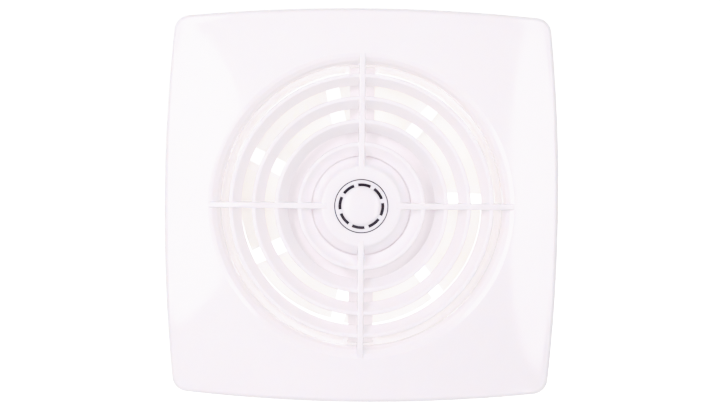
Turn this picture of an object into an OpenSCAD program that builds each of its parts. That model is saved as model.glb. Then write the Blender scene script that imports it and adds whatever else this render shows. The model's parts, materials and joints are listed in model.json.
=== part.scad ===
// Bathroom extractor fan for a 125 mm duct.
// The fan axis is Y: the grille faces -Y, the duct spigot points to +Y and Z is up.
// The origin is on the fan axis, in the plane of the wall.
// Depths are given as Y values: negative is in the room, positive is in the duct.

/* [Cover] */
// Width and height of the cover, across the middle of its sides
cover_w = 177; // [174:1:180]
// Radius of the bulging sides
side_r = 900; // [850:10:950]
// Radius of the cover's corners
corner_r = 7; // [5:1:9]
// How far the cover's front stands off the wall, at the fan axis
cover_front = 28; // [27:0.5:30]
// Radius of the domed front
dome_r = 430; // [420:10:480]
// Thickness of the cover's skin
cover_t = 2.2; // [1.8:0.1:2.5]

/* [Grille] */
// Outer radius of the innermost louvre ring
ring_first_r = 28.5; // [28.4:0.1:28.7]
// Step from one louvre ring to the next
ring_step = 10.2; // [10.1:0.05:10.3]
// Width of the innermost ring as seen from the front
ring_w = 6.1; // [5.8:0.1:6.2]
// How much narrower each further ring is
ring_taper = 0.25; // [0.2:0.05:0.3]
// Depth of a louvre ring
ring_depth = 7; // [6:0.5:7.5]
// Width of the four ribs
rib_w = 2.8; // [2.4:0.1:3.2]
// Height of the ribs
rib_h = 5.5; // [4:0.5:6.5]
// Radius of the cap in the middle
cap_r = 11.6; // [11.4:0.1:11.7]
// Number of slots in the cap
cap_slots = 8; // [6:1:10]

/* [Housing] */
// Outer radius of the duct spigot
spigot_r = 61.5; // [61.2:0.1:62]
// Wall thickness of the spigot
spigot_t = 1.5; // [1.2:0.1:1.7]
// How far the spigot reaches behind the wall plane
spigot_len = 52; // [50:1:60]
// Distance between wall screws, both ways
screw_pitch = 136; // [134:1:138]

/* [Motor and impeller] */
// Outer radius of the motor pod
pod_r = 38; // [37.5:0.1:38.5]
// Width of the two arms that carry the pod
arm_w = 11; // [10:0.5:12]
// Number of impeller blades
blades = 7; // [5:1:8]
// Radius at the blade tips
tip_r = 56; // [55:0.5:58]
// Radius of the impeller hub
hub_r = 30; // [28:0.5:32]
// Radius of the shaft
shaft_r = 1.5; // [1.5:0.05:1.6]

/* [Hidden] */

round_fn = 96;
small_fn = 36;
dome_fn = 240;
over = 0.5;                // how far a cutting shape runs past the face that it cuts

shell_white = "#f4f1f4";
motor_white = "#efe9ea";
blade_cream = "#f6efe2";
steel = "#b4b6ba";
copper = "#b5633a";
brass = "#c9a24b";

// Cover
half_w = cover_w / 2;
cover_back = -0.5;
dish_r = 68.4;             // where the front turns down into the round opening
opening_r = 63.1;
dish_back = -13.2;
hub_flat_r = 17.2;
hub_foot_r = 21.9;
hub_front = 0.4 - cover_front;
cap_front = hub_front + 0.1;
cap_seat = hub_front + 1.8;
pocket_r = cap_r + 0.45;
well_r = 11;
hub_floor_front = -21;
hub_floor_back = -19;
n_rings = 4;

// Housing
bore_r = spigot_r - spigot_t;
base_t = 2.5;
tray_gap = 1.2;
tray_wall = 1.8;
tray_front = -9;
mouth_y = -12.5;
mouth_start = -3;
mouth_flare = 5.5;
socket_r = 62.2;           // wall behind the arm feet
foot_r = 61.9;
foot_in = 55.5;
foot_y = -2;
arm_y = -12;
arm_t = 3;
bridge_screw_z = 57.7;

// Motor
pod_front = -15;
pod_back = 11.5;
pod_t = 2;
pod_cover_t = 2;
stack_y = 6;               // half the thickness of the lamination stack
stack_w = 34;
stack_top = 15;
stack_bottom = -29;
gap_r = 10.4;              // bore of the stack
rotor_r = 10;
yoke_z = -26;
motor_screw_x = 13.7;
post_y = -9.5;
pod_screw_r = 33.6;

// Impeller
blade_y = 15;              // leading edges
blade_wrap = 39.8;           // degrees that a blade covers at the hub side
blade_wrap_tip = 44.8;
first_blade = 9.4;
blade_sweep = 4.4;         // how far the leading edge swings back from hub to tip, in degrees
hub_front_y = 16;
hub_back_y = 33;

// Wiring corner
block_pos = [43, -71.5];
grommet_pos = [70, -40];
clamp_pos = [67, -56];

// ---- helpers -------------------------------------------------------------

// Extrudes an X-Z drawing from y0 to y1
module slab(y0, y1) {
    translate([0, y1, 0]) rotate([90, 0, 0]) linear_extrude(y1 - y0) children();
}

// Turns an [r, y] profile about the fan axis
module turned(points) {
    rotate([-90, 0, 0]) rotate_extrude($fn = round_fn) polygon(points);
}

// A rod along Y, centred at [x, z]
module rod(r, y0, y1, at = [0, 0], fn = small_fn) {
    translate([at[0], y0, at[1]]) rotate([-90, 0, 0]) cylinder(r = r, h = y1 - y0, $fn = fn);
}

// A block from corner a to corner b
module block(a, b) {
    translate(a) cube(b - a);
}

// A pan-head screw along +Y: the head is in front of y_seat, the shank behind it
module screw(at, y_seat, length, shank_r, head_r, head_h, flip = 1) {
    translate([at[0], y_seat, at[1]]) rotate([flip > 0 ? 0 : 180, 0, 0]) difference() {
        union() {
            rod(shank_r, -0.1, length);
            rod(head_r, -head_h, 0);
            rod(head_r - 0.5, -head_h - 0.3, 0);
        }
        for (turn = [0, 90]) rotate([0, turn, 0])
            block([-head_r * 0.6, -head_h - 1, -0.4], [head_r * 0.6, -head_h * 0.45, 0.4]);
    }
}

// One bulging side and the corner after it, as points
function side_and_corner(inset) =
    let (a = side_r - half_w, u = (sqrt(2 * pow(side_r - corner_r, 2) - a * a) - a) / 2)
    let (swing = atan(u / (u + a)), r = side_r - inset, c = max(corner_r - inset, 0.8))
    concat(
        [for (i = [0:12]) let (t = -swing + swing * i / 6) [r * cos(t) - a, r * sin(t)]],
        [for (i = [1:6]) let (t = swing + (90 - 2 * swing) * i / 7) [u + c * cos(t), u + c * sin(t)]]
    );

// The bulging square, drawn inset by a distance from the cover's outer edge
module cushion(inset) {
    polygon([for (q = [0:3]) for (p = side_and_corner(inset))
        [p[0] * cos(90 * q) - p[1] * sin(90 * q), p[0] * sin(90 * q) + p[1] * cos(90 * q)]]);
}

// Y of the domed front at distance r from the axis
function dome_y(r) = dome_r - cover_front - sqrt(dome_r * dome_r - r * r);

module dome_ball(inset) {
    translate([0, dome_r - cover_front, 0]) sphere(r = dome_r - inset, $fn = dome_fn);
}

// ---- cover ---------------------------------------------------------------

module cover_skin() {
    difference() {
        intersection() {
            slab(-cover_front - 2, cover_back) cushion(0);
            dome_ball(0);
        }
        intersection() {
            slab(-cover_front - 2, over) cushion(cover_t);
            dome_ball(cover_t);
        }
        rod(dish_r, -40, 5, fn = round_fn);
    }
}

// The dished edge of the round opening
module dish_edge() {
    y = dome_y(dish_r);
    turned([
        [dish_r - 0.05, y + 0.02], [dish_r + 1.2, y + 0.7], [dish_r + 1.2, y + 2],
        [opening_r + 3.9, y + 3.4], [opening_r + 2, y + 6.2], [opening_r + 1.4, dish_back],
        [opening_r, dish_back], [opening_r, y + 6], [opening_r + 0.6, y + 4.2],
        [opening_r + 1.7, y + 2.6], [opening_r + 3.4, y + 0.9]
    ]);
}

module louvre_ring(k) {
    r = ring_first_r + k * ring_step;
    w = ring_w - k * ring_taper;
    y = dome_y(r) + 0.3;
    turned([
        [r - 0.4, y], [r, y + 0.4], [r, y + 1.8], [r - w + 1.7, y + ring_depth],
        [r - w + 0.2, y + ring_depth], [r - w, y + ring_depth - 0.6], [r - 1.6, y]
    ]);
}

// The four ribs follow the domed front just under its surface
module ribs() {
    inner = 15;
    steps = 8;
    sunk = 0.08;
    function along(i) = inner + (dish_r + 1 - inner) * i / steps;
    outline = concat(
        [for (i = [0:steps]) [along(i), dome_y(along(i)) + sunk]],
        [for (i = [steps:-1:0]) [along(i), dome_y(along(i)) + rib_h]]
    );
    for (q = [0:3]) rotate([0, 90 * q, 0])
        translate([0, 0, -rib_w / 2]) linear_extrude(rib_w) polygon(outline);
}

module cover_hub() {
    turned([
        [2, hub_floor_front], [well_r, hub_floor_front], [well_r, cap_seat],
        [pocket_r, cap_seat], [pocket_r, hub_front], [hub_flat_r, hub_front],
        [hub_flat_r + 0.8, hub_front + 0.5], [hub_foot_r, hub_front + 8.2],
        [hub_foot_r, hub_front + 9.5], [hub_foot_r - 1.7, hub_front + 9.5],
        [hub_flat_r - 1, hub_front + 2.4], [well_r + 2.2, hub_front + 2.4],
        [well_r + 2.2, hub_floor_back], [2, hub_floor_back]
    ]);
}

module front_cover() {
    color(shell_white) union() {
        cover_skin();
        dish_edge();
        for (k = [0:n_rings - 1]) louvre_ring(k);
        ribs();
        cover_hub();
    }
}

module centre_cap() {
    dome_top = 1.6;
    dome_edge = 8.7;
    slot_in = 8.85;
    slot_out = 10.2;
    slot_span = 360 / cap_slots - 11;
    first_slot = 36;
    skirt_back = hub_floor_front - 2.4;
    color(shell_white) difference() {
        turned(concat(
            [[0, cap_front - dome_top]],
            [for (t = [15:15:90]) [dome_edge * sin(t), cap_front - dome_top * cos(t)]],
            [
                [cap_r - 0.3, cap_front], [cap_r, cap_front + 0.3], [cap_r, cap_seat],
                [well_r - 0.15, cap_seat], [well_r - 0.15, skirt_back], [well_r - 0.7, skirt_back],
                [well_r - 0.7, cap_seat - 0.3], [0, cap_seat - 0.3]
            ]
        ));
        for (i = [0:cap_slots - 1]) rotate([0, first_slot + i * 360 / cap_slots, 0]) rotate([-90, 0, 0])
            translate([0, 0, cap_front - 1]) rotate_extrude(angle = slot_span, $fn = round_fn)
                translate([slot_in, 0]) square([slot_out - slot_in, 4]);
    }
}

module cover_screw() {
    color(steel) screw([0, 0], hub_floor_front, 8.4, 1.6, 3.6, 2);
}

// ---- housing -------------------------------------------------------------

module duct() {
    arc = [for (t = [0:12:84]) [1 - cos(t), sin(t)]];
    depth = mouth_start - mouth_y;
    turned(concat(
        [[bore_r, spigot_len - 1], [bore_r + 0.6, spigot_len], [spigot_r - 0.5, spigot_len]],
        [[spigot_r, spigot_len - 0.5], [spigot_r, mouth_start]],
        [for (p = arc) [spigot_r + mouth_flare * p[0] + 0.2, mouth_start - (depth - 0.6) * p[1]]],
        [for (i = [len(arc) - 1:-1:0]) let (p = arc[i]) [bore_r + mouth_flare * p[0], mouth_start - depth * p[1]]]
    ));
}

// The wall and the floor that each arm foot stands in
module foot_socket(s) {
    outer_w = arm_w / 2 + 2.1;
    difference() {
        block([-outer_w, mouth_y, s > 0 ? 58 : -67], [outer_w, -1.5, s > 0 ? 67 : -58]);
        rod(bore_r, -20, 5, fn = round_fn);
    }
    intersection() {
        block([-6, foot_y, s > 0 ? foot_in : -61], [6, 1, s > 0 ? 61 : -foot_in]);
        rod(bore_r + 1, -5, 5, fn = round_fn);
    }
}

module foot_pocket(s) {
    gap = 0.3;
    w = arm_w / 2 + gap;
    intersection() {
        block([-w, mouth_y - 1, s > 0 ? 50 : -63], [w, foot_y, s > 0 ? 63 : -50]);
        rod(socket_r, -20, 5, fn = round_fn);
    }
}

module rear_housing() {
    color(shell_white) difference() {
        union() {
            slab(-base_t, 0) cushion(cover_t + tray_gap);
            difference() {
                slab(tray_front, -1) cushion(cover_t + tray_gap);
                slab(tray_front - over, 0) cushion(cover_t + tray_gap + tray_wall);
            }
            duct();
            for (s = [-1, 1]) foot_socket(s);
            for (x = [-1, 1]) for (z = [-1, 1])
                rod(5, -4.5, -1, [x * screw_pitch / 2, z * screw_pitch / 2]);
            rod(3, -5, -1, block_pos);
            for (x = [-1, 1]) rod(2.6, -5.5, -1, clamp_pos + [x * 6, 0]);
        }
        // The duct's bore through the base and the sockets
        difference() {
            rod(bore_r, -3.2, 1.5, fn = round_fn);
            for (s = [-1, 1])
                block([-6, foot_y, s > 0 ? foot_in : -61], [6, 1, s > 0 ? 61 : -foot_in]);
        }
        for (s = [-1, 1]) {
            foot_pocket(s);
            rod(1.4, -5, 2, [0, s * bridge_screw_z]);
        }
        for (x = [-1, 1]) for (z = [-1, 1])
            rod(2.25, -6, 1, [x * screw_pitch / 2, z * screw_pitch / 2]);
        rod(5, -4, 1, grommet_pos);
        rod(1.1, -6, -1.2, block_pos);
        for (x = [-1, 1]) rod(1.1, -6, -1.2, clamp_pos + [x * 6, 0]);
        // Way out for the motor leads, through the lower socket
        block([-2.6, -9.4, -70], [2.6, -5.4, -60]);
    }
}

// ---- motor bridge and pod ------------------------------------------------

module arm(s) {
    w = arm_w / 2;
    z0 = s > 0 ? pod_r - 1.5 : -80;
    z1 = s > 0 ? 80 : 1.5 - pod_r;
    intersection() {
        union() {
            block([-w, arm_y, z0], [w, arm_y + arm_t, z1]);
            block([-w * 0.45, arm_y - 0.6, z0], [w * 0.45, arm_y + 1, z1]);
            block([-w, arm_y, s > 0 ? foot_in : -80], [w, foot_y, s > 0 ? 80 : -foot_in]);
        }
        rod(foot_r, -20, 5, fn = round_fn);
    }
}

module motor_bridge() {
    edge = 4;
    inner_r = pod_r - pod_t;
    color(motor_white) difference() {
        union() {
            turned(concat(
                [[0, pod_front]],
                [for (t = [0:15:90]) [pod_r - edge + edge * sin(t), pod_front + edge - edge * cos(t)]],
                [[pod_r, pod_back], [inner_r, pod_back]],
                [for (t = [90:-15:0]) [inner_r - 2.5 + 2.5 * sin(t), pod_front + pod_t + 2.5 - 2.5 * cos(t)]],
                [[0, pod_front + pod_t]]
            ));
            rod(5, hub_floor_back, -12);
            for (s = [-1, 1]) {
                arm(s);
                rod(3.5, pod_front + 1, post_y, [s * motor_screw_x, 0]);
            }
            for (i = [0:2]) rod(2, pod_front + 1, pod_back, pod_screw_at(i));
        }
        rod(1.9, hub_floor_back - 1, -11);
        for (s = [-1, 1]) {
            rod(1.25, -13.5, post_y + 1, [s * motor_screw_x, 0]);
            rod(1.15, -7, 0, [0, s * bridge_screw_z]);
        }
        for (i = [0:2]) rod(0.9, pod_back - 7, pod_back + 1, pod_screw_at(i));
        // Way for the leads through the pod wall and the lower foot
        block([-2.4, -8.7, -39], [2.4, -6.1, -34]);
        block([-2.4, -9, -63], [2.4, -5.8, -54]);
    }
}

function pod_screw_at(i) = [pod_screw_r * cos(90 + i * 120), pod_screw_r * sin(90 + i * 120)];

module bridge_screws() {
    color(steel) for (s = [-1, 1]) screw([0, s * bridge_screw_z], 1, 6.5, 1.1, 2.1, 1.4, -1);
}

module pod_cover() {
    color(motor_white) difference() {
        union() {
            turned([
                [4, pod_back], [pod_r, pod_back], [pod_r, pod_back + 1.2],
                [pod_r - 0.8, pod_back + pod_cover_t], [4, pod_back + pod_cover_t]
            ]);
            difference() {
                rod(35.6, pod_back - 1.2, pod_back + 0.5, fn = round_fn);
                rod(34.4, pod_back - 2, pod_back + 1, fn = round_fn);
                for (i = [0:2]) rod(2.6, pod_back - 3, pod_back + 0.01, pod_screw_at(i));
            }
        }
        for (i = [0:2]) rod(1.2, pod_back - 1, pod_back + 3, pod_screw_at(i));
        // Air slots that cool the motor
        for (i = [0:5]) rotate([0, 30 + i * 60, 0])
            block([12, pod_back - 1, -1.2], [24, pod_back + 3, 1.2]);
    }
}

module pod_cover_screws() {
    color(steel) for (i = [0:2])
        screw(pod_screw_at(i), pod_back + pod_cover_t, 7, 0.9, 2, 1.1, -1);
}

// ---- motor ---------------------------------------------------------------

module stator_core() {
    ring_slot = [12.5, 8];
    color("#6f7276") difference() {
        block([-stack_w / 2, -stack_y, stack_bottom], [stack_w / 2, stack_y, stack_top]);
        rod(gap_r, -8, 8, fn = round_fn);
        block([-9, -8, -22], [9, 8, -13.2]);
        for (s = [-1, 1]) {
            rod(1.6, -8, 8, [s * motor_screw_x, 0]);
            block([s * ring_slot[0] - 1.05, -8, ring_slot[1] - 1.05], [s * ring_slot[0] + 1.05, 8, ring_slot[1] + 1.05]);
        }
    }
}

module coil_bobbin() {
    color("#e9e4d6") difference() {
        union() {
            block([-8.8, -6.9, yoke_z - 3.9], [8.8, 6.9, yoke_z + 3.9]);
            for (s = [-1, 1])
                block([s * 8.3 - 0.5, -10, yoke_z - 7.8], [s * 8.3 + 0.5, 10, yoke_z + 7.8]);
        }
        block([-10, -stack_y - 0.1, yoke_z - 3.1], [10, stack_y + 0.1, yoke_z + 4.05]);
        block([-10, -stack_y - 0.1, yoke_z + 3.9], [10, stack_y + 0.1, yoke_z + 4.1]);
    }
}

// A racetrack section across the yoke, from its corner radius
module coil_section(y, z, r) {
    for (a = [-1, 1]) for (b = [-1, 1]) translate([a * (y - r), b * (z - r)]) circle(r = r, $fn = small_fn);
    square([2 * y, 2 * (z - r)], center = true);
    square([2 * (y - r), 2 * z], center = true);
}

module coil_winding() {
    half_x = 7.7;
    color(copper) translate([-half_x, 0, yoke_z]) rotate([90, 0, 90]) linear_extrude(2 * half_x)
        difference() {
            coil_section(9.3, 7.2, 2);
            square([14, 8], center = true);
        }
}

module shading_rings() {
    color(copper) for (s = [-1, 1]) difference() {
        block([s > 0 ? 11.55 : -18.6, -7.6, 7.1], [s > 0 ? 18.6 : -11.55, 7.6, 8.9]);
        block([s > 0 ? 13.55 : -17.05, -6.05, 5], [s > 0 ? 17.05 : -13.55, 6.05, 10]);
    }
}

module thermal_fuse() {
    color("#d8d2c4") {
        translate([-4.5, -11.2, yoke_z]) rotate([0, 90, 0]) cylinder(r = 1.4, h = 9, $fn = small_fn);
        for (x = [-7, 4.4]) translate([x, -11.2, yoke_z]) rotate([0, 90, 0]) cylinder(r = 0.4, h = 2.6, $fn = 24);
    }
}

// A bar across the stack with a bearing seat in the middle and two feet
module bracket(s) {
    y = [stack_y * s, 8 * s, 9.5 * s, 11.2 * s];
    difference() {
        union() {
            for (x = [-1, 1]) rod(3.1, min(y[0], y[1]), max(y[0], y[1]), [x * motor_screw_x, 0]);
            block([-16.8, min(y[1], y[2]), -4], [16.8, max(y[1], y[2]), 4]);
            rod(5, min(y[1], y[3]), max(y[1], y[3]));
        }
        rod(3, -20, 20);
        for (x = [-1, 1]) rod(1.6, -20, 20, [x * motor_screw_x, 0]);
    }
}

module front_bracket() {
    color("#c5c7cb") bracket(-1);
}

module rear_bracket() {
    color("#c5c7cb") bracket(1);
}

module bush(y0, y1) {
    color("#b08d57") difference() {
        rod(3, y0, y1);
        rod(shaft_r + 0.03, y0 - 1, y1 + 1);
    }
}

module front_bearing() {
    bush(-11.2, -7.7);
}

module rear_bearing() {
    bush(7.7, 11.2);
}

module motor_screws() {
    color(steel) for (s = [-1, 1]) screw([s * motor_screw_x, 0], 9.5, 22, 1.25, 2.6, 1.3, -1);
}

module rotor_core() {
    color("#8a8d91") difference() {
        union() {
            rod(rotor_r, -stack_y, stack_y, fn = round_fn);
            rod(rotor_r - 1, -6.8, 6.8, fn = round_fn);
        }
        rod(shaft_r, -10, 10);
    }
}

module rotor_shaft() {
    color("#d5d7da") rod(shaft_r, -11, 37.5);
}

module thrust_washers() {
    color("#3c3a38") for (y = [-7.5, 7]) difference() {
        rod(3.2, y, y + 0.5);
        rod(shaft_r, y - 1, y + 2);
    }
}

// ---- impeller ------------------------------------------------------------

n_span = 6;
n_chord = 8;

function blade_radius(u) = hub_r - 0.9 + (tip_r - hub_r + 0.9) * u / n_span;

// One point of a blade: u counts outwards, v counts from the leading to the trailing edge,
// side is -1 on the front face and 1 on the back face
function blade_point(u, v, side) =
    let (r = blade_radius(u), s = v / n_chord, f = (r - hub_r) / (tip_r - hub_r))
    let (turn = (blade_wrap + (blade_wrap_tip - blade_wrap) * f) * s - blade_sweep * f)
    let (depth = 16 - 3 * f, lift = s - 0.1 * sin(180 * s))
    let (thick = 0.5 + 1.0 * sin(180 * s))
    [r * cos(turn), blade_y + 1 + depth * lift + side * thick / 2, r * sin(turn)];

module blade() {
    m = n_chord + 1;
    front = [for (u = [0:n_span]) for (v = [0:n_chord]) blade_point(u, v, -1)];
    back = [for (u = [0:n_span]) for (v = [0:n_chord]) blade_point(u, v, 1)];
    k = len(front);
    skin = [for (u = [0:n_span - 1]) for (v = [0:n_chord - 1]) let (a = u * m + v) each [
        [a, a + 1, a + m], [a + 1, a + m + 1, a + m],
        [k + a, k + a + m, k + a + 1], [k + a + 1, k + a + m, k + a + m + 1]
    ]];
    ends = [for (v = [0:n_chord - 1]) let (a = v, b = n_span * m + v) each [
        [a, k + a, a + 1], [a + 1, k + a, k + a + 1],
        [b, b + 1, k + b], [b + 1, k + b + 1, k + b]
    ]];
    edges = [for (u = [0:n_span - 1]) let (a = u * m, b = u * m + n_chord) each [
        [a, a + m, k + a], [a + m, k + a + m, k + a],
        [b, k + b, b + m], [b + m, k + b, k + b + m]
    ]];
    polyhedron(points = concat(front, back), faces = concat(skin, ends, edges));
}

module impeller() {
    wall = 1.6;
    edge = 3;
    color(blade_cream) union() {
        turned(concat(
            [[shaft_r, hub_back_y], [shaft_r, hub_front_y + 1], [5, hub_front_y + 1], [5, hub_back_y - wall]],
            [[hub_r - wall, hub_back_y - wall], [hub_r - wall, hub_front_y], [hub_r, hub_front_y]],
            [for (t = [0:15:90]) [hub_r - edge + edge * cos(t), hub_back_y - edge + edge * sin(t)]]
        ));
        for (i = [0:blades - 1]) rotate([0, -360 * i / blades, 0])
            block([4.5, hub_front_y + 5, -0.7], [hub_r - 1, hub_back_y - 1, 0.7]);
        for (i = [0:blades - 1]) rotate([0, -first_blade - 360 * i / blades, 0]) blade();
    }
}

module impeller_nut() {
    color(brass) difference() {
        union() {
            rod(3.2, hub_back_y, hub_back_y + 2.4, fn = 6);
            rod(3.9, hub_back_y, hub_back_y + 0.5);
        }
        rod(shaft_r, hub_back_y - 1, hub_back_y + 5);
    }
}

// ---- wiring --------------------------------------------------------------

lead_r = 0.8;
lead_x = 1.1;

// Centre line of one lead, from the winding to the terminal block; s is -1 or 1
function lead_route(s) = [
    [s * lead_x, -7.4, -34.2], [s * lead_x, -7.4, -38], [s * lead_x, -7.4, -44],
    [s * lead_x, -7.4, -50], [s * lead_x, -7.4, -56], [s * lead_x, -7.4, -62],
    [s * lead_x, -7.4, -66], [s * lead_x + 1.5, -7.4, -70 + s * 0.6],
    [s * lead_x + 5, -7.4, -73 + s * 1.4], [14, -7.6, -73.6 + s * 2.2],
    [22, -8, -71.5 + s * 3.2], [28, -8, -71.5 + s * 4], [32.4, -8, -71.5 + s * 4]
];

function unit(v) = v / norm(v);

// A round tube of eight sides along a route
module swept_tube(route, r) {
    n = len(route);
    sides = 8;
    tangents = [for (i = [0:n - 1]) unit(route[min(i + 1, n - 1)] - route[max(i - 1, 0)])];
    points = [for (i = [0:n - 1]) let (a = unit(cross(tangents[i], [0, 1, 0])), b = cross(tangents[i], a))
        for (j = [0:sides - 1]) route[i] + r * (a * cos(360 * j / sides) + b * sin(360 * j / sides))];
    walls = [for (i = [0:n - 2]) for (j = [0:sides - 1])
        let (a = i * sides + j, b = i * sides + (j + 1) % sides) each [
            [a, a + sides, b], [b, a + sides, b + sides]
        ]];
    first = [for (j = [0:sides - 1]) j];
    last = [for (j = [sides - 1:-1:0]) (n - 1) * sides + j];
    polyhedron(points = points, faces = concat(walls, [first], [last]));
}

module motor_leads() {
    color("#5c6f9c") for (s = [-1, 1]) swept_tube(lead_route(s), lead_r);
}

module terminal_block() {
    w = 20;
    d = 16;
    color("#efeee9") translate([block_pos[0], 0, block_pos[1]]) difference() {
        union() {
            block([-w / 2, -11, -d / 2], [w / 2, -5, d / 2]);
            for (s = [-1, 1]) block([-w / 2 + 1, -13, s * 4 - 3], [w / 2 - 1, -11, s * 4 + 3]);
        }
        for (s = [-1, 1]) {
            translate([-w, -8, s * 4]) rotate([0, 90, 0]) cylinder(r = 2, h = 2 * w, $fn = small_fn);
            for (x = [-5, 5]) rod(1.6, -14, -8, [x, s * 4]);
        }
        rod(1.5, -14, -4);
        rod(1.9, -14, -10.5);
    }
}

module terminal_clamps() {
    color(brass) for (s = [-1, 1]) translate([block_pos[0], -8, block_pos[1] + s * 4]) difference() {
        translate([-7, 0, 0]) rotate([0, 90, 0]) cylinder(r = 1.95, h = 14, $fn = small_fn);
        translate([-8, 0, 0]) rotate([0, 90, 0]) cylinder(r = 1.1, h = 16, $fn = small_fn);
        for (x = [-5, 5]) rod(1.2, -3, 0, [x, 0]);
    }
}

module terminal_screws() {
    color(steel) for (s = [-1, 1]) for (x = [-5, 5])
        translate([block_pos[0] + x, 0, block_pos[1] + s * 4]) difference() {
            union() {
                rod(1.15, -10.6, -7.9);
                rod(1.5, -12.2, -10.6);
            }
            block([-2, -13, -0.25], [2, -11.6, 0.25]);
        }
}

module terminal_fixing_screw() {
    color(steel) screw(block_pos, -10.5, 8, 1.05, 1.8, 1, 1);
}

module cable_clamp() {
    color("#efeee9") translate([clamp_pos[0], 0, clamp_pos[1]]) difference() {
        union() {
            block([-8.6, -7.5, -3], [8.6, -5.5, 3]);
            block([-4, -9.5, -3], [4, -5.5, 3]);
        }
        translate([0, -5, -4]) cylinder(r = 3, h = 8, $fn = small_fn);
        for (x = [-6, 6]) rod(1.3, -12, -4, [x, 0]);
    }
}

module cable_clamp_screws() {
    color(steel) for (x = [-6, 6]) screw(clamp_pos + [x, 0], -7.5, 5.8, 1.05, 1.9, 1, 1);
}

module cable_grommet() {
    color("#4a4a4c") translate([grommet_pos[0], 0, grommet_pos[1]]) difference() {
        union() {
            rod(4.95, -4, -0.1);
            rod(6.8, -4.2, -base_t);
        }
        rod(3.6, -6, 1);
    }
}

// ---- nodes ---------------------------------------------------------------

front_cover();
centre_cap();
cover_screw();
rear_housing();
motor_bridge();
bridge_screws();
pod_cover();
pod_cover_screws();
stator_core();
coil_bobbin();
coil_winding();
shading_rings();
thermal_fuse();
front_bracket();
rear_bracket();
front_bearing();
rear_bearing();
motor_screws();
rotor_core();
rotor_shaft();
thrust_washers();
impeller();
impeller_nut();
motor_leads();
terminal_block();
terminal_clamps();
terminal_screws();
terminal_fixing_screw();
cable_clamp();
cable_clamp_screws();
cable_grommet();
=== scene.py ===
"""Bathroom extractor fan: looks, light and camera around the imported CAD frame.

Shapes are built in millimetres in the CAD frame (fan axis Y, front towards -Y, Z up)
and turned into metres by new_mesh(). A profile is a list of (radius, y) points.
"""
import json
import math

import bmesh
import bpy
from mathutils import Matrix, Vector


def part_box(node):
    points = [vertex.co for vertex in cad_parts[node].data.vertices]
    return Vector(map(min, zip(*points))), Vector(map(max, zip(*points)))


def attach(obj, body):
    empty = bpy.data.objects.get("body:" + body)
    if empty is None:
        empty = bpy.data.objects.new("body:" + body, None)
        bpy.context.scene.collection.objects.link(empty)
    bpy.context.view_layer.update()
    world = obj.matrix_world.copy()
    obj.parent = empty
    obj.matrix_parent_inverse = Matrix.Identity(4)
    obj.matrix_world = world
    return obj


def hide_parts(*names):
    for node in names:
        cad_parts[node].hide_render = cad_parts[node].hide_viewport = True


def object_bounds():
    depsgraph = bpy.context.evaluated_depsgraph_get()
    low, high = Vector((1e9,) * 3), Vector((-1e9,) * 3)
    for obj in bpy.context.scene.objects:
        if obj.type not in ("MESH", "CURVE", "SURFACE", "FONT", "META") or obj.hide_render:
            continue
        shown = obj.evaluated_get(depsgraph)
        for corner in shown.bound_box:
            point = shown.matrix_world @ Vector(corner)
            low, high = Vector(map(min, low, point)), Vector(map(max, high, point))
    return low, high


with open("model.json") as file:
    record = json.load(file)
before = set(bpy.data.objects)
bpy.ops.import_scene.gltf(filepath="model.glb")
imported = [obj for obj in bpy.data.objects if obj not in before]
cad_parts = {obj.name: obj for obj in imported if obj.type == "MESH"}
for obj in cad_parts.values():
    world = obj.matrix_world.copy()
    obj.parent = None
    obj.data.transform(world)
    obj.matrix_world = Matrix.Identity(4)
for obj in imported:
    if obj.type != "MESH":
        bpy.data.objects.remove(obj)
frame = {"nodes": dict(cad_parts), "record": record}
cad_low, cad_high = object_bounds()

MM = 0.001


def node_box(node):
    """A node's lowest and highest corner, in millimetres."""
    low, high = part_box(node)
    return low / MM, high / MM


# ---- sizes in millimetres, from the frame ----------------------------------

cover_low, cover_high = node_box("front_cover")
cap_low, cap_high = node_box("centre_cap")

# ---- sizes of the cover and the cap ----------------------------------------

HALF_W = cover_high.x                    # half the cover's width at mid-side
FRONT_Y = cover_low.y - 0.1              # the dome's front on the axis
COVER_BACK = cover_high.y
DOME_R = 430.0                           # radius of the front's dome
SIDE_R = 900.0                           # radius of the bulging sides
CORNER_R = 7.0
EDGE_R = 2.6                             # rounding between the front and the sides
SKIN = 2.2                               # wall thickness
DISH_R = 68.4                            # the dish round the grille, where it leaves the dome
OPENING_R = 63.1
DISH_BACK = -13.2
RING_FIRST_R = 28.5                      # front edge of the innermost louvre ring
RING_STEP = 10.2
RING_W = 6.1                             # how far a ring slopes inwards
RING_TAPER = 0.25                        # by how much each ring slopes less than the last
RING_DEPTH = 7.0
N_RINGS = 4
RIB_W = 2.8
RIB_H = 5.5
HUB_FLAT_R = 17.2
HUB_FOOT_R = 21.9
HUB_FRONT = FRONT_Y + 0.4
HUB_FLOOR = (-21.0, -19.0)               # front and back of the floor that the screw goes through
WELL_R = 11.0                            # the pocket that takes the cap's skirt
CAP_R = cap_high.x
CAP_SEAT = HUB_FRONT + 1.8
CAP_DOME_R = 8.7
CAP_SLOTS = (8.85, 10.2)                 # inner and outer radius of the cap's slots
N_SLOTS = 8
FIRST_SLOT = 20                          # degrees from +X
SLOT_SPAN = 34

# ---- sizes of the impeller -------------------------------------------------

HUB_R = 30.0
HUB_BACK = node_box("impeller")[1].y
WHEEL_FRONT = 16.0                       # front edge of the blades and of the hub
TIP_R = 56.0
BLADES = 7
FIRST_BLADE = 9.4                        # the first blade's front edge at the hub, degrees from +X
BLADE_SWEEP = 4.4                        # how far the front edge turns back towards the tip
BLADE_WRAP = (39.8, 44.8)                # degrees that a blade covers, at the hub and at the tip
BLADE_DEPTH = (16.0, 13.0)               # along the axis, at the hub and at the tip


# ---- helpers ---------------------------------------------------------------

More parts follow.
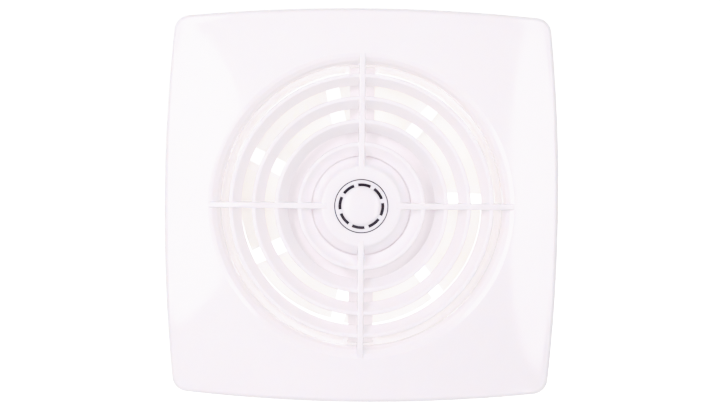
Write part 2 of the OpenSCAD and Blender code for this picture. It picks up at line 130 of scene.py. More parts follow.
def new_mesh(name, verts, faces):
    mesh = bpy.data.meshes.new(name)
    mesh.from_pydata([Vector(v) * MM for v in verts], [], faces)
    mesh.validate()
    bm = bmesh.new()
    bm.from_mesh(mesh)
    bmesh.ops.recalc_face_normals(bm, faces=bm.faces)
    bm.to_mesh(mesh)
    bm.free()
    obj = bpy.data.objects.new(name, mesh)
    bpy.context.scene.collection.objects.link(obj)
    return obj


def rounded(points, radius, steps=4, closed=True):
    """The outline with each corner turned into an arc; a point may carry its own radius."""
    out = []
    n = len(points)
    for i, p in enumerate(points):
        r = p[2] if len(p) > 2 else radius
        here = Vector(p[:2])
        if not closed and i in (0, n - 1) or r <= 0:
            out.append(here)
            continue
        before = Vector(points[i - 1][:2]) - here
        after = Vector(points[(i + 1) % n][:2]) - here
        half = before.angle(after) / 2
        reach = min(r / math.tan(half), before.length * 0.45, after.length * 0.45)
        start, end = here + before.normalized() * reach, here + after.normalized() * reach
        for k in range(steps + 1):
            t = k / steps
            out.append(start * (1 - t) ** 2 + here * 2 * t * (1 - t) + end * t ** 2)
    return out


def lathe(name, profile, segments=192):
    """Turns a closed (radius, y) outline about the fan axis; radius 0 gives one shared vertex."""
    verts, index = [], []
    for r, y in profile:
        if r < 1e-6:
            index.append([len(verts)] * segments)
            verts.append((0, y, 0))
        else:
            index.append(list(range(len(verts), len(verts) + segments)))
            turns = [2 * math.pi * s / segments for s in range(segments)]
            verts += [(r * math.cos(t), y, r * math.sin(t)) for t in turns]
    faces = []
    for a, b in zip(index, index[1:] + index[:1]):
        for s in range(segments):
            t = (s + 1) % segments
            ring = []
            for v in (a[s], a[t], b[t], b[s]):
                if v not in ring:
                    ring.append(v)
            if len(ring) > 2:
                faces.append(ring)
    return new_mesh(name, verts, faces)


def loft(name, loops, capped=False):
    """Joins loops of equally many points in order; without caps the last loop joins the first."""
    n = len(loops[0])
    verts = [p for loop in loops for p in loop]
    faces = []
    for i in range(len(loops) - (1 if capped else 0)):
        a, b = i * n, (i + 1) % len(loops) * n
        faces += [(a + k, a + (k + 1) % n, b + (k + 1) % n, b + k) for k in range(n)]
    if capped:
        faces += [tuple(range(n)), tuple(range((len(loops) - 1) * n, len(loops) * n))]
    return new_mesh(name, verts, faces)


def prism(name, outline, y0, y1, edge=0.4, steps=3):
    """An outline in X-Z drawn from y0 to y1, with its rims rounded by pulling them in."""
    centre = sum((Vector(p) for p in outline), Vector((0, 0))) / len(outline)
    loops = []
    for y_rim, turn in ((y0, 1), (y1, -1)):
        rim = []
        for k in range(steps + 1):
            t = math.radians(90 * k / steps)
            inset = edge * (1 - math.sin(t))
            rim.append((inset, y_rim + turn * edge * (1 - math.cos(t))))
        loops += rim if turn > 0 else rim[::-1]
    out = []
    for inset, y in loops:
        ring = []
        for p in outline:
            d = Vector(p) - centre
            ring.append((p[0] - math.copysign(min(inset, abs(d.x)), d.x), y,
                         p[1] - math.copysign(min(inset, abs(d.y)), d.y)))
        out.append(ring)
    return loft(name, out, capped=True)


def rect(x0, x1, z0, z1, r=0.5, steps=3):
    """A rectangle in X-Z with rounded corners."""
    return rounded([(x0, z0), (x1, z0), (x1, z1), (x0, z1)], r, steps)


def join(name, parts):
    """One object from several; the parts go away."""
    bm = bmesh.new()
    for part in parts:
        bm.from_mesh(part.data)
        bpy.data.objects.remove(part)
    mesh = bpy.data.meshes.new(name)
    bm.to_mesh(mesh)
    bm.free()
    obj = bpy.data.objects.new(name, mesh)
    bpy.context.scene.collection.objects.link(obj)
    return obj


def boolean(obj, other, operation):
    """Applies an exact boolean and removes the other object."""
    mod = obj.modifiers.new("cut", "BOOLEAN")
    mod.operation = operation
    mod.solver = "EXACT"
    mod.object = other
    bake_modifiers(obj)
    bpy.data.objects.remove(other)
    return obj


def bake_modifiers(obj):
    bpy.context.view_layer.update()
    graph = bpy.context.evaluated_depsgraph_get()
    mesh = bpy.data.meshes.new_from_object(obj.evaluated_get(graph))
    obj.modifiers.clear()
    obj.data = mesh


def smooth(obj, angle=32):
    obj.data.shade_smooth()
    obj.data.set_sharp_from_angle(angle=math.radians(angle))
    return obj


def finish_piece(obj, body, material, nodes=(), angle=32):
    """Shading, material, body and the CAD nodes that the piece stands for."""
    smooth(obj, angle)
    obj.data.materials.clear()
    obj.data.materials.append(material)
    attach(obj, body)
    if nodes:
        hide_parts(*nodes)
    return obj


# ---- materials -------------------------------------------------------------

class Nodes:
    """A short way to write a node tree around one Principled shader."""

    def __init__(self, name):
        self.mat = bpy.data.materials.new(name)
        self.mat.use_nodes = True
        self.tree = self.mat.node_tree
        self.shader = self.tree.nodes["Principled BSDF"]
        self.coords = self.tree.nodes.new("ShaderNodeTexCoord").outputs["Object"]

    def link(self, a, b):
        self.tree.links.new(a, b)

    def new(self, kind, **inputs):
        node = self.tree.nodes.new(kind)
        for key, value in inputs.items():
            node.inputs[key].default_value = value
        return node

    def noise(self, scale, detail=3.0, stretch=(1, 1, 1), rough=0.5):
        mapping = self.new("ShaderNodeMapping", Scale=stretch)
        self.link(self.coords, mapping.inputs["Vector"])
        node = self.new("ShaderNodeTexNoise", Scale=scale, Detail=detail, Roughness=rough)
        self.link(mapping.outputs["Vector"], node.inputs["Vector"])
        return node.outputs["Fac"]

    def spread(self, source, low, high, start=0.35, end=0.65):
        node = self.new("ShaderNodeMapRange")
        node.inputs["From Min"].default_value = start
        node.inputs["From Max"].default_value = end
        node.inputs["To Min"].default_value = low
        node.inputs["To Max"].default_value = high
        self.link(source, node.inputs["Value"])
        return node.outputs["Result"]

    def mix(self, fac, a, b):
        node = self.tree.nodes.new("ShaderNodeMix")
        node.data_type = "RGBA"
        node.inputs["A"].default_value = (*a, 1)
        node.inputs["B"].default_value = (*b, 1)
        self.link(fac, node.inputs["Factor"])
        return node.outputs["Result"]

    def bump(self, heights, strength=0.2, distance=0.00005):
        normal = None
        for height, share in heights:
            node = self.new("ShaderNodeBump", Strength=strength * share, Distance=distance)
            self.link(height, node.inputs["Height"])
            if normal is not None:
                self.link(normal, node.inputs["Normal"])
            normal = node.outputs["Normal"]
        self.link(normal, self.shader.inputs["Normal"])


def shade(colour, amount):
    return tuple(max(0.0, min(1.0, c * amount)) for c in colour)


def plastic(name, colour, rough=(0.24, 0.32), texture=0.12, glow=0.0, ior=1.45, painted_light=0.0, warm=None):
    """Moulded plastic: faint cloudy colour, uneven gloss, and a very fine moulded grain.

    Thin white walls let light through: glow is the weight of subsurface scattering. The emission
    strength is painted light, a slight glow of the plastic's own. warm is the second colour of the
    clouds.
    """
    m = Nodes(name)
    cloud = m.noise(38, 4)
    fine = m.noise(900.0, 3)
    m.link(m.mix(m.spread(cloud, 0, 1), warm or shade(colour, 0.99), shade(colour, 1.005)),
           m.shader.inputs["Base Color"])
    m.link(m.spread(m.noise(150, 5), *rough), m.shader.inputs["Roughness"])
    m.bump([(fine, 1.0), (m.noise(60, 2), 1.5)], texture)
    m.shader.inputs["IOR"].default_value = ior
    # the emission is painted light: the plastic glows slightly though it is no lamp
    m.shader.inputs["Emission Color"].default_value = (*colour, 1)
    m.shader.inputs["Emission Strength"].default_value = painted_light
    if glow:
        m.shader.inputs["Subsurface Weight"].default_value = glow
        m.shader.inputs["Subsurface Radius"].default_value = (0.004, 0.0035, 0.003)
        m.shader.inputs["Subsurface Scale"].default_value = 0.6
    return m.mat


GLOW = 0.6                               # subsurface weight of the white walls


def math_node(tree, operation, a, b=0.0):
    """A math node on two inputs, each a number or another node's output."""
    node = tree.nodes.new("ShaderNodeMath")
    node.operation = operation
    for k, value in enumerate((a, b)):
        if isinstance(value, float):
            node.inputs[k].default_value = value
        else:
            tree.links.new(value, node.inputs[k])
    return node.outputs[0]


def place_of(tree):
    """X, Y, Z and the squared distance from the fan axis, in the object's coordinates."""
    parts = tree.nodes.new("ShaderNodeSeparateXYZ")
    tree.links.new(tree.nodes.new("ShaderNodeTexCoord").outputs["Object"], parts.inputs[0])
    x, y, z = parts.outputs
    x2, z2 = math_node(tree, "MULTIPLY", x, x), math_node(tree, "MULTIPLY", z, z)
    return x, y, z, math_node(tree, "ADD", x2, z2)


def recolour(material, fac, colour):
    """Mixes a colour over the material's own by a factor."""
    tree = material.node_tree
    shader = tree.nodes["Principled BSDF"]
    mix = tree.nodes.new("ShaderNodeMix")
    mix.data_type = "RGBA"
    tree.links.new(fac, mix.inputs["Factor"])
    tree.links.new(shader.inputs["Base Color"].links[0].from_socket, mix.inputs["A"])
    mix.inputs["B"].default_value = (*colour, 1)
    tree.links.new(mix.outputs["Result"], shader.inputs["Base Color"])


def paint_blade_shade(material):
    """Painted shade: each blade grows darker and warmer towards its front edge; the hub stays as it
    is.
    """
    tree = material.node_tree
    x, y, z, r2 = place_of(tree)
    first = math.radians(FIRST_BLADE)
    angle = math_node(tree, "SUBTRACT", math_node(tree, "ARCTAN2", z, x), first)
    along = math_node(tree, "FRACT", math_node(tree, "DIVIDE", angle, 2 * math.pi / BLADES))
    outside = math_node(tree, "GREATER_THAN", r2, (HUB_R * MM) ** 2)
    warm = math_node(tree, "MULTIPLY", math_node(tree, "SUBTRACT", 1.0, along), outside)
    # painted shade: a darker, warmer cream towards each blade's front edge
    recolour(material, warm, (0.975, 0.915, 0.855))
    return material


def paint_well_shade(material, inner, outer):
    """Painted shade on the faces behind the cap's slots, between two radii, so that the slots read
    black; the subsurface glow is switched off there too.

    A negative inner radius takes in the axis too.
    """
    tree = material.node_tree
    x, y, z, r2 = place_of(tree)
    inner_2, outer_2 = math.copysign((inner * MM) ** 2, inner), (outer * MM) ** 2
    near = math_node(tree, "MULTIPLY", math_node(tree, "LESS_THAN", r2, outer_2),
                     math_node(tree, "GREATER_THAN", r2, inner_2))
    behind = math_node(tree, "GREATER_THAN", y, (HUB_FRONT + 0.6) * MM)
    before = math_node(tree, "LESS_THAN", y, (HUB_FLOOR[0] + 0.3) * MM)
    well_shade_mask = math_node(tree, "MULTIPLY", near, math_node(tree, "MULTIPLY", behind, before))
    # painted shade: near-black colour on the well's faces behind the slots
    recolour(material, well_shade_mask, (0.06, 0.048, 0.065))
    tree.links.new(math_node(tree, "MULTIPLY", math_node(tree, "SUBTRACT", 1.0, well_shade_mask), GLOW),
                   tree.nodes["Principled BSDF"].inputs["Subsurface Weight"])
    return material


def metal(name, colour, rough=(0.22, 0.42), stretch=(1, 1, 1), scale=700.0, texture=0.25):
    """Metal with fine lines or grain and a slightly stained colour."""
    m = Nodes(name)
    m.shader.inputs["Metallic"].default_value = 1.0
    stain = m.noise(90, 5)
    grain = m.noise(scale, 4, stretch)
    m.link(m.mix(m.spread(stain, 0, 1), colour, shade(colour, 0.82)), m.shader.inputs["Base Color"])
    m.link(m.spread(grain, *rough), m.shader.inputs["Roughness"])
    m.bump([(grain, 1.0)], texture)
    return m.mat


def rubber(name, colour):
    """Dull, slightly cloudy and finely grained."""
    m = Nodes(name)
    m.link(m.mix(m.spread(m.noise(120, 4), 0, 1), colour, shade(colour, 1.5)),
           m.shader.inputs["Base Color"])
    m.link(m.spread(m.noise(400, 4), 0.55, 0.75), m.shader.inputs["Roughness"])
    m.bump([(m.noise(1200, 3), 1.0)], 0.3)
    return m.mat


def striped_steel(name):
    """Stacked laminations: thin dark lines across the fan axis."""
    m = Nodes(name)
    m.shader.inputs["Metallic"].default_value = 0.9
    wave = m.new("ShaderNodeTexWave", Scale=320.0, Distortion=0.4, Detail=2.0)
    wave.bands_direction = "Y"
    m.link(m.coords, wave.inputs["Vector"])
    m.link(m.mix(wave.outputs["Fac"], (0.16, 0.16, 0.17), (0.42, 0.43, 0.45)),
           m.shader.inputs["Base Color"])
    m.link(m.spread(m.noise(300, 4), 0.35, 0.6), m.shader.inputs["Roughness"])
    m.bump([(wave.outputs["Fac"], 1.0)], 0.5, 0.0001)
    return m.mat


def wound_copper(name):
    """Enamelled wire laid side by side round the spool."""
    m = Nodes(name)
    m.shader.inputs["Metallic"].default_value = 0.85
    wave = m.new("ShaderNodeTexWave", Scale=1100.0, Distortion=0.6, Detail=2.0)
    wave.bands_direction = "X"
    m.link(m.coords, wave.inputs["Vector"])
    m.link(m.mix(wave.outputs["Fac"], (0.30, 0.09, 0.03), (0.72, 0.30, 0.13)),
           m.shader.inputs["Base Color"])
    m.link(m.spread(m.noise(500, 4), 0.2, 0.4), m.shader.inputs["Roughness"])
    m.bump([(wave.outputs["Fac"], 1.0)], 0.8, 0.0002)
    return m.mat


def glossy_white(name, colour, rough, painted_light=0.0):
    """The polished white of the cover, the cap and the housing."""
    return plastic(name, colour, rough, 0.02, glow=GLOW, ior=1.6, painted_light=painted_light)


SHELL = (0.965, 0.93, 0.955)
# The cover's well and the cap's skirt carry painted shade behind the slots.
COVER_WHITE = paint_well_shade(glossy_white("shell_white", SHELL, (0.06, 0.085)), -1.0, CAP_R + 0.5)
CAP_WHITE = paint_well_shade(glossy_white("cap_white", SHELL, (0.06, 0.085)),
                      CAP_SLOTS[0] - 0.2, CAP_SLOTS[1] + 0.08)
# painted light: the housing glows slightly to lift its shaded bell mouth and duct
HOUSING_WHITE = glossy_white("housing_white", (0.97, 0.955, 0.935), (0.035, 0.055), painted_light=0.14)
# painted light: the blades glow slightly; painted shade darkens each blade towards its front edge
BLADE_CREAM = paint_blade_shade(plastic("blade_cream", (0.98, 0.965, 0.935), (0.26, 0.36), 0.1,
                                  glow=1.0, painted_light=0.12, warm=(0.98, 0.945, 0.91)))
MATERIALS = {
    "shell": COVER_WHITE,
    "motor_shell": plastic("motor_white", (0.90, 0.865, 0.87), (0.34, 0.44), 0.2),
    "blade": BLADE_CREAM,
    "steel": metal("zinc_steel", (0.62, 0.63, 0.65), (0.25, 0.45)),
    "shaft": metal("ground_steel", (0.72, 0.73, 0.75), (0.12, 0.28), (40, 1, 40)),
    "lamination": striped_steel("laminated_steel"),
    "bobbin": plastic("natural_nylon", (0.80, 0.76, 0.66), (0.4, 0.5), 0.2),
    "copper": wound_copper("wound_copper"),
    "zamak": metal("cast_bracket", (0.60, 0.61, 0.63), (0.4, 0.6), scale=350.0, texture=0.4),
    "bronze": metal("sintered_bronze", (0.50, 0.36, 0.20), (0.4, 0.6), scale=900.0),
    "fibre": rubber("fibre_washer", (0.05, 0.045, 0.04)),
    "fuse": plastic("fuse_body", (0.66, 0.61, 0.50), (0.4, 0.5), 0.2),
    "lead": plastic("lead_blue", (0.07, 0.16, 0.42), (0.35, 0.45), 0.15),
    "terminal": plastic("ivory_nylon", (0.80, 0.79, 0.72), (0.36, 0.46), 0.2),
    "brass": metal("turned_brass", (0.70, 0.50, 0.20), (0.2, 0.4), (1, 30, 1)),
    "grommet": rubber("black_rubber", (0.022, 0.022, 0.024)),
}


# ---- cover -----------------------------------------------------------------

def front_y(x, z):
    """Y of the cover's front."""
    return FRONT_Y + DOME_R - math.sqrt(DOME_R ** 2 - x * x - z * z)


def outline_points(side_steps=40, corner_steps=16):
    """The bulging square, as points with their polar angles growing.

    The sides are arcs about points at distance a behind the centre, and the corner's
    arc is centred on (u, u), where it meets both neighbouring sides smoothly.
    """
    a = SIDE_R - HALF_W
    u = (math.sqrt(2 * (SIDE_R - CORNER_R) ** 2 - a * a) - a) / 2
    swing = math.atan2(u, u + a)
    quarter = []
    for i in range(side_steps):
        t = -swing + 2 * swing * i / side_steps
        quarter.append((SIDE_R * math.cos(t) - a, SIDE_R * math.sin(t)))
    for i in range(corner_steps):
        t = swing + (math.pi / 2 - 2 * swing) * i / corner_steps
        quarter.append((u + CORNER_R * math.cos(t), u + CORNER_R * math.sin(t)))
    points = []
    for q in range(4):
        c, s = round(math.cos(q * math.pi / 2)), round(math.sin(q * math.pi / 2))
        points += [Vector((x * c - z * s, x * s + z * c)) for x, z in quarter]
    return points


def shell_profile(reach, at):
    """The skin's closed outline from the dish to a rim at reach; at(r) is the front's Y."""
    start, edge_start = DISH_R + 0.9, reach - EDGE_R
    steps, edge_steps, back_steps = 14, 7, 8
    points = []
    for k in range(steps + 1):
        r = start + (edge_start - start) * k / steps
        points.append((r, at(r)))
    lip_y = at(edge_start)
    for k in range(1, edge_steps + 1):
        t = math.radians(90 * k / edge_steps)
        points.append((edge_start + EDGE_R * math.sin(t),
                       lip_y + 0.35 + EDGE_R * (1 - math.cos(t)) - 0.35 * math.cos(t)))
    points.append((reach, (lip_y + EDGE_R + COVER_BACK) / 2))
    wall = reach - SKIN
    points += [tuple(p) for p in rounded([
        (reach, COVER_BACK - 2), (reach, COVER_BACK), (wall, COVER_BACK), (wall, COVER_BACK - 2),
    ], 0.35, 3, closed=False)]
    top_in = lip_y + SKIN
    points += [tuple(p) for p in rounded([
        (wall, top_in + 4), (wall, top_in + 0.4), (wall - 3, top_in - 0.2),
    ], 1.2, 3, closed=False)]
    for k in range(1, back_steps + 1):
        r = (wall - 3) + (DISH_R + 2.4 - (wall - 3)) * k / back_steps
        points.append((r, at(r) + SKIN))
    dish_y = at(DISH_R)
    dish = rounded([
        (DISH_R + 2.0, dish_y + SKIN + 0.1), (OPENING_R + 3.9, dish_y + 3.6, 1.5),
        (OPENING_R + 2.0, dish_y + 6.4, 1.5), (OPENING_R + 1.5, DISH_BACK),
        (OPENING_R, DISH_BACK), (OPENING_R, DISH_BACK - 1.4),
        (OPENING_R + 0.3, dish_y + 5.4, 1.5), (OPENING_R + 1.6, dish_y + 2.6, 1.5),
        (DISH_R - 1.9, dish_y + 0.8, 1.2), (DISH_R, dish_y, 0.3), (start, at(start)),
    ], 0.45, 4, closed=False)
    return points + [tuple(p) for p in dish[:-1]]


def cover_shell():
    """The skin, from one profile for each point of the outline."""
    loops = []
    for far in outline_points():
        direction = far.normalized()

        def at(r):
            return front_y(direction.x * r, direction.y * r)

        loops.append([(direction.x * r, y, direction.y * r)
                      for r, y in shell_profile(far.length, at)])
    return loft("cover_shell", loops)


def louvre_ring(k):
    """A conical ring with a rounded front edge near its outer radius."""
    r = RING_FIRST_R + k * RING_STEP
    w = RING_W - k * RING_TAPER
    y = front_y(r, 0) + 0.25
    profile = rounded([
        (r, y, 0.7), (r, y + 2.0, 0.3), (r - w + 1.6, y + RING_DEPTH, 0.3),
        (r - w, y + RING_DEPTH, 0.4), (r - w, y + RING_DEPTH - 0.8, 0.3), (r - 1.7, y, 0.9),
    ], 0.4, 5)
    return lathe("ring", profile, 224)


def cover_hub():
    """The hub: a pocket for the cap's rim, a deeper one for its skirt, and a sloping side."""
    screw_r, pocket_r, foot_y = 2.0, CAP_R + 0.45, HUB_FRONT + 9.5
    profile = rounded([
        (screw_r, HUB_FLOOR[0]), (WELL_R, HUB_FLOOR[0]), (WELL_R, CAP_SEAT), (pocket_r, CAP_SEAT),
        (pocket_r, HUB_FRONT, 0.25), (HUB_FLAT_R + 0.5, HUB_FRONT, 1.6),
        (HUB_FOOT_R, foot_y - 1.3, 0.6), (HUB_FOOT_R, foot_y), (HUB_FOOT_R - 1.7, foot_y),
        (HUB_FLAT_R - 1, HUB_FRONT + 2.4), (WELL_R + 2.2, HUB_FRONT + 2.4),
        (WELL_R + 2.2, HUB_FLOOR[1]), (screw_r, HUB_FLOOR[1]),
    ], 0.3, 4)
    return lathe("hub", profile, 160)


def ribs():
    """Four bars with rounded front edges and a little draft, following the dome."""
    inner, outer, steps = 15.5, DISH_R + 1.2, 24
    proud = 0.15
    section = rounded([
        (-RIB_W / 2 - 0.15, RIB_H, 0.2), (-RIB_W / 2 + 0.1, 0, 0.7), (RIB_W / 2 - 0.1, 0, 0.7),
        (RIB_W / 2 + 0.15, RIB_H, 0.2),
    ], 0.5, 5)
    bars = []
    for q in range(4):
        c, s = round(math.cos(q * math.pi / 2)), round(math.sin(q * math.pi / 2))
        loops = []
        for i in range(steps + 1):
            r = inner + (outer - inner) * i / steps
            y = front_y(r, 0) - proud
            sink = 0.5 if i == steps else 0.0
            loops.append([(r * c - p.x * s, y + max(p.y, sink), r * s + p.x * c) for p in section])
        bars.append(loft("rib", loops, capped=True))
    return join("ribs", bars)


def build_cover():
    """The cover is one moulding: shell, hub, rings and ribs."""
    rings = [louvre_ring(k) for k in range(N_RINGS)]
    cover = join("cover_moulding", [cover_shell(), cover_hub(), *rings])
    boolean(cover, ribs(), "UNION")
    return finish_piece(cover, "cover", COVER_WHITE, ["front_cover"])


def arc_cutter(r0, r1, y0, y1, start, span, steps=12):
    """A curved bar that cuts an arc slot; angles in degrees."""
    turns = [math.radians(start + span * k / steps) for k in range(steps + 1)]
    outline = [(r1 * math.cos(t), r1 * math.sin(t)) for t in turns]
    outline += [(r0 * math.cos(t), r0 * math.sin(t)) for t in reversed(turns)]
    return loft("slot", [[(x, y, z) for x, z in outline] for y in (y0, y1)], capped=True)


def build_cap():
    """The cap: a dome, a ring of arc slots, a flat rim and a skirt."""
    flat = HUB_FRONT + 0.1
    rise = flat - cap_low.y
    skirt_out, skirt_in, under = WELL_R - 0.15, WELL_R - 0.7, CAP_SEAT - 0.3
    dome = [(CAP_DOME_R * math.sin(math.radians(t)), flat - rise * math.cos(math.radians(t)))
            for t in range(0, 90, 6)]
    rim = rounded([
        (CAP_DOME_R, flat - 0.02, 0), (CAP_R, flat, 0.35), (CAP_R, CAP_SEAT, 0.15),
        (skirt_out, CAP_SEAT, 0), (skirt_out, cap_high.y, 0.2), (skirt_in, cap_high.y, 0.2),
        (skirt_in, under, 0.2), (0, under, 0),
    ], 0.2, 4, closed=False)
    cap = lathe("cap_moulding", dome + [tuple(p) for p in rim], 160)
    turns = [360 / N_SLOTS * i + FIRST_SLOT for i in range(N_SLOTS)]
    slots = [arc_cutter(*CAP_SLOTS, flat - 2, CAP_SEAT + 0.2, turn, SLOT_SPAN) for turn in turns]
    boolean(cap, join("slots", slots), "DIFFERENCE")
    return finish_piece(cap, "cap", CAP_WHITE, ["centre_cap"])


# ---- impeller --------------------------------------------------------------

def between(pair, f):
    return pair[0] + (pair[1] - pair[0]) * f


def blade(turn):
    """One blade with rounded edges: sections at growing radius, each a thin closed outline."""
    root_r = HUB_R - 1.0
    n_span, n_chord = 14, 22
    loops = []
    for u in range(n_span + 1):
        r = root_r + (TIP_R - root_r) * u / n_span
        f = (r - HUB_R) / (TIP_R - HUB_R)
        wrap, depth = between(BLADE_WRAP, f), between(BLADE_DEPTH, f)

        def at(s, side):
            """A point at share s of the chord, on the front (-1) or the back (1)."""
            thick = 0.35 + 1.15 * math.sin(math.pi * min(max(s, 0.02), 0.98)) ** 0.7
            if s < 0 or s > 1:
                thick = 0
            angle = math.radians(turn - BLADE_SWEEP * f + wrap * s)
            y = WHEEL_FRONT + depth * (s - 0.1 * math.sin(math.pi * s)) + side * thick / 2
            return (r * math.cos(angle), y, r * math.sin(angle))

        front = [at(k / n_chord, -1) for k in range(n_chord + 1)]
        back = [at(k / n_chord, 1) for k in range(n_chord, -1, -1)]
        loops.append([at(-0.006, 0)] + front + [at(1.006, 0)] + back)
    return loft("blade", loops, capped=True)


def turn_y(degrees):
    return Matrix.Rotation(-math.radians(degrees), 4, "Y")


def build_impeller():
    """A cup with a sleeve for the shaft, a web behind each blade, and the blades."""
    wall, bore, sleeve = 1.6, 1.5, 5
    front, back = WHEEL_FRONT, HUB_BACK
    inner = HUB_R - wall
    profile = rounded([
        (bore, back, 0.2), (bore, front + 1), (sleeve, front + 1), (sleeve, back - wall, 1.0),
        (inner, back - wall, 2.0), (inner, front), (HUB_R, front), (HUB_R, back, 3.2),
    ], 0.35, 5)
    hub = lathe("hub", profile, 168)
    webs = []
    for i in range(BLADES):
        outline = rect(sleeve - 0.4, HUB_R - 1, -0.7, 0.7, 0.1, 1)
        web = prism("web", outline, front + 5, back - 1, 0.1, steps=1)
        web.data.transform(turn_y(360 * i / BLADES))
        webs.append(web)
    blades = [blade(FIRST_BLADE + 360 * i / BLADES) for i in range(BLADES)]
    boolean(hub, join("webs", webs), "UNION")
    boolean(hub, join("blades", blades), "UNION")
    hub.name = "impeller_moulding"
    return finish_piece(hub, "rotor", BLADE_CREAM, ["impeller"])


# ---- the other pieces come from the CAD frame as they are ------------------

def dress_cad():
    """Every CAD node that stays visible gets its slot's material and smooth shading by angle."""
    for row in frame["record"]["subparts"]:
        obj = frame["nodes"][row["node"]]
        obj.data.materials.clear()
        obj.data.materials.append(MATERIALS[row["material_slot"]])
        smooth(obj, 30)


dress_cad()
frame["nodes"]["rear_housing"].data.materials[0] = HOUSING_WHITE
build_cover()
build_cap()
build_impeller()


# ---- stage, light and camera -----------------------------------------------

AMBIENT = 0.25                           # the world's light
WHITE = 1.6                              # how bright the backdrop looks
LAMP = (1.0, 0.92, 1.0)
WARM_LAMP = (1.0, 0.97, 0.93)
FAN = (0, 0, 0)                          # where the lights point


def area(name, place, size, power, colour=LAMP, shape="RECTANGLE"):
    """An area light that points at the fan; size is its width and height in metres."""
    data = bpy.data.lights.new(name, "AREA")
    data.shape = shape
    data.size, data.size_y = size
    data.energy = power
    data.color = colour
    obj = bpy.data.objects.new(name, data)
    obj.location = place
    obj.rotation_euler = (Vector(FAN) - Vector(place)).to_track_quat("-Z", "Y").to_euler()
    bpy.context.scene.collection.objects.link(obj)
    return obj


def aim(azimuth, elevation, distance):
    """A place in front of the fan, at angles from its axis."""
    a, e = math.radians(azimuth), math.radians(elevation)
    return distance * Vector((math.sin(a) * math.cos(e), -math.cos(a) * math.cos(e), math.sin(e)))


def build_lights():
    """Two tall panels that the cover mirrors, and lamps that it doesn't mirror."""
    area("panel_left", aim(-34, 3, 1.5), (0.86, 1.3), 6.8, shape="ELLIPSE")
    area("panel_right", aim(31, 0.5, 1.5), (0.4, 1.5), 3.6, shape="ELLIPSE")
    lamps = [
        area("lamp_left", aim(-28, 20, 1.5), (0.16, 0.5), 4.4),
        area("lamp_right", aim(27, 4, 1.5), (0.16, 0.5), 2.9),
        area("fill", aim(0, 3, 1.7), (0.3, 0.3), 6.6),
    ]
    rear = area("rear_lamp", (-0.3, 0.6, 0.2), (1.3, 1.3), 5.0, WARM_LAMP)
    rear.visible_camera = False
    for lamp in [*lamps, rear]:
        lamp.visible_glossy = False


def build_stage():
    """A plain pale floor just under the fan; the cover's mirror image looks past it."""
    half = 6.0
    z = cad_low.z - 0.0004
    corners = [(-half, -half, z), (half, -half, z), (half, half, z), (-half, half, z)]
    mesh = bpy.data.meshes.new("floor")
    mesh.from_pydata(corners, [], [(0, 1, 2, 3)])
    floor = bpy.data.objects.new("floor", mesh)
    bpy.context.scene.collection.objects.link(floor)
    m = Nodes("pale_floor")
    m.link(m.mix(m.noise(3, 2), (0.74, 0.74, 0.74), (0.78, 0.78, 0.78)),
           m.shader.inputs["Base Color"])
    m.link(m.spread(m.noise(5, 3), 0.07, 0.1), m.shader.inputs["Roughness"])
    m.shader.inputs["IOR"].default_value = 2.2
    m.shader.inputs["Emission Color"].default_value = (1, 1, 1, 1)
    path = m.new("ShaderNodeLightPath")
    m.link(math_node(m.tree, "MULTIPLY", path.outputs["Is Camera Ray"], 1.3),
           m.shader.inputs["Emission Strength"])
    mesh.materials.append(m.mat)
    floor.visible_glossy = False


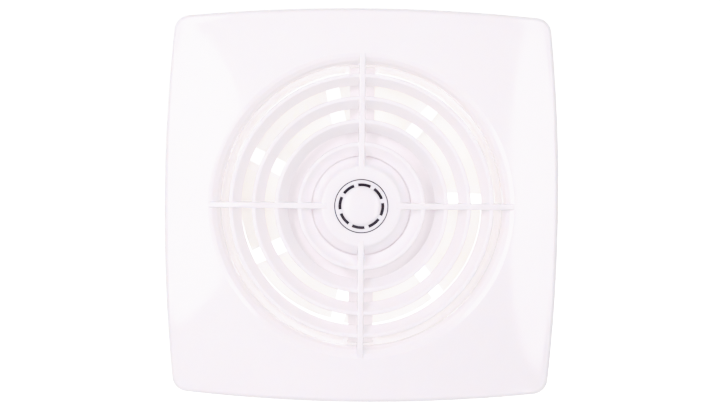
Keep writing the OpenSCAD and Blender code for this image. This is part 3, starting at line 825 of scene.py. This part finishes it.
def build_world():
    """An even studio, dimmer behind the fan.

    It looks plain white, both straight on and mirrored in the duct's wall.
    """
    world = bpy.data.worlds.new("studio")
    bpy.context.scene.world = world
    world.use_nodes = True
    tree = world.node_tree
    new, link = tree.nodes.new, tree.links.new
    split = new("ShaderNodeSeparateXYZ")
    link(new("ShaderNodeTexCoord").outputs["Generated"], split.inputs[0])
    y = split.outputs["Y"]
    fade = new("ShaderNodeMapRange")
    fade.interpolation_type = "SMOOTHSTEP"
    ends = {"From Min": -0.7, "From Max": 0.1, "To Min": 1.0, "To Max": 0.55}
    for key, value in ends.items():
        fade.inputs[key].default_value = value
    link(y, fade.inputs["Value"])
    light = new("ShaderNodeBackground")
    light.inputs["Color"].default_value = (*LAMP, 1)
    link(math_node(tree, "MULTIPLY", fade.outputs["Result"], AMBIENT), light.inputs["Strength"])
    seen = tree.nodes["Background"]
    seen.inputs["Color"].default_value = (1, 1, 1, 1)
    seen.inputs["Strength"].default_value = WHITE
    path = new("ShaderNodeLightPath")
    behind = math_node(tree, "GREATER_THAN", y, 0.3)
    mirrored = math_node(tree, "MULTIPLY", path.outputs["Is Glossy Ray"], behind)
    mix = new("ShaderNodeMixShader")
    link(math_node(tree, "MAXIMUM", path.outputs["Is Camera Ray"], mirrored), mix.inputs[0])
    link(light.outputs[0], mix.inputs[1])
    link(seen.outputs[0], mix.inputs[2])
    link(mix.outputs[0], tree.nodes["World Output"].inputs["Surface"])


def build_camera():
    """Nearly square on to the cover and a little from above, as in the photo."""
    distance = 1.0
    elevation = math.radians(1.7)
    roll = math.radians(0.5)
    target = Vector((-0.0006, -0.017, 0.0009))
    share = 0.54806                      # the cover's width as a share of the picture's
    data = bpy.data.cameras.new("camera")
    data.sensor_width = 36.0
    data.lens = share / (2 * HALF_W * MM) * distance * data.sensor_width
    data.clip_start, data.clip_end = 0.05, 50
    camera = bpy.data.objects.new("camera", data)
    camera.location = target + distance * Vector((0, -math.cos(elevation), math.sin(elevation)))
    facing = (target - camera.location).to_track_quat("-Z", "Y").to_matrix().to_4x4()
    camera.rotation_euler = (facing @ Matrix.Rotation(roll, 4, "Z")).to_euler()
    bpy.context.scene.collection.objects.link(camera)
    bpy.context.scene.camera = camera


def build_view():
    """A high-key print: the light tones are drawn together, white stays white."""
    view = bpy.context.scene.view_settings
    view.view_transform = "Standard"
    view.use_curve_mapping = True
    white = 1.4
    view.curve_mapping.white_level = (white, white, white)
    curve = view.curve_mapping.curves[3]
    for x, y in ((0.3, 0.46), (0.55, 0.72), (0.8, 0.862), (0.95, 0.938), (1.1, 0.97)):
        curve.points.new(x / white, y)
    view.curve_mapping.update()


build_stage()
build_world()
build_camera()
build_lights()
build_view()
bpy.context.scene.cycles.diffuse_bounces = 12
bpy.context.scene.cycles.max_bounces = 16
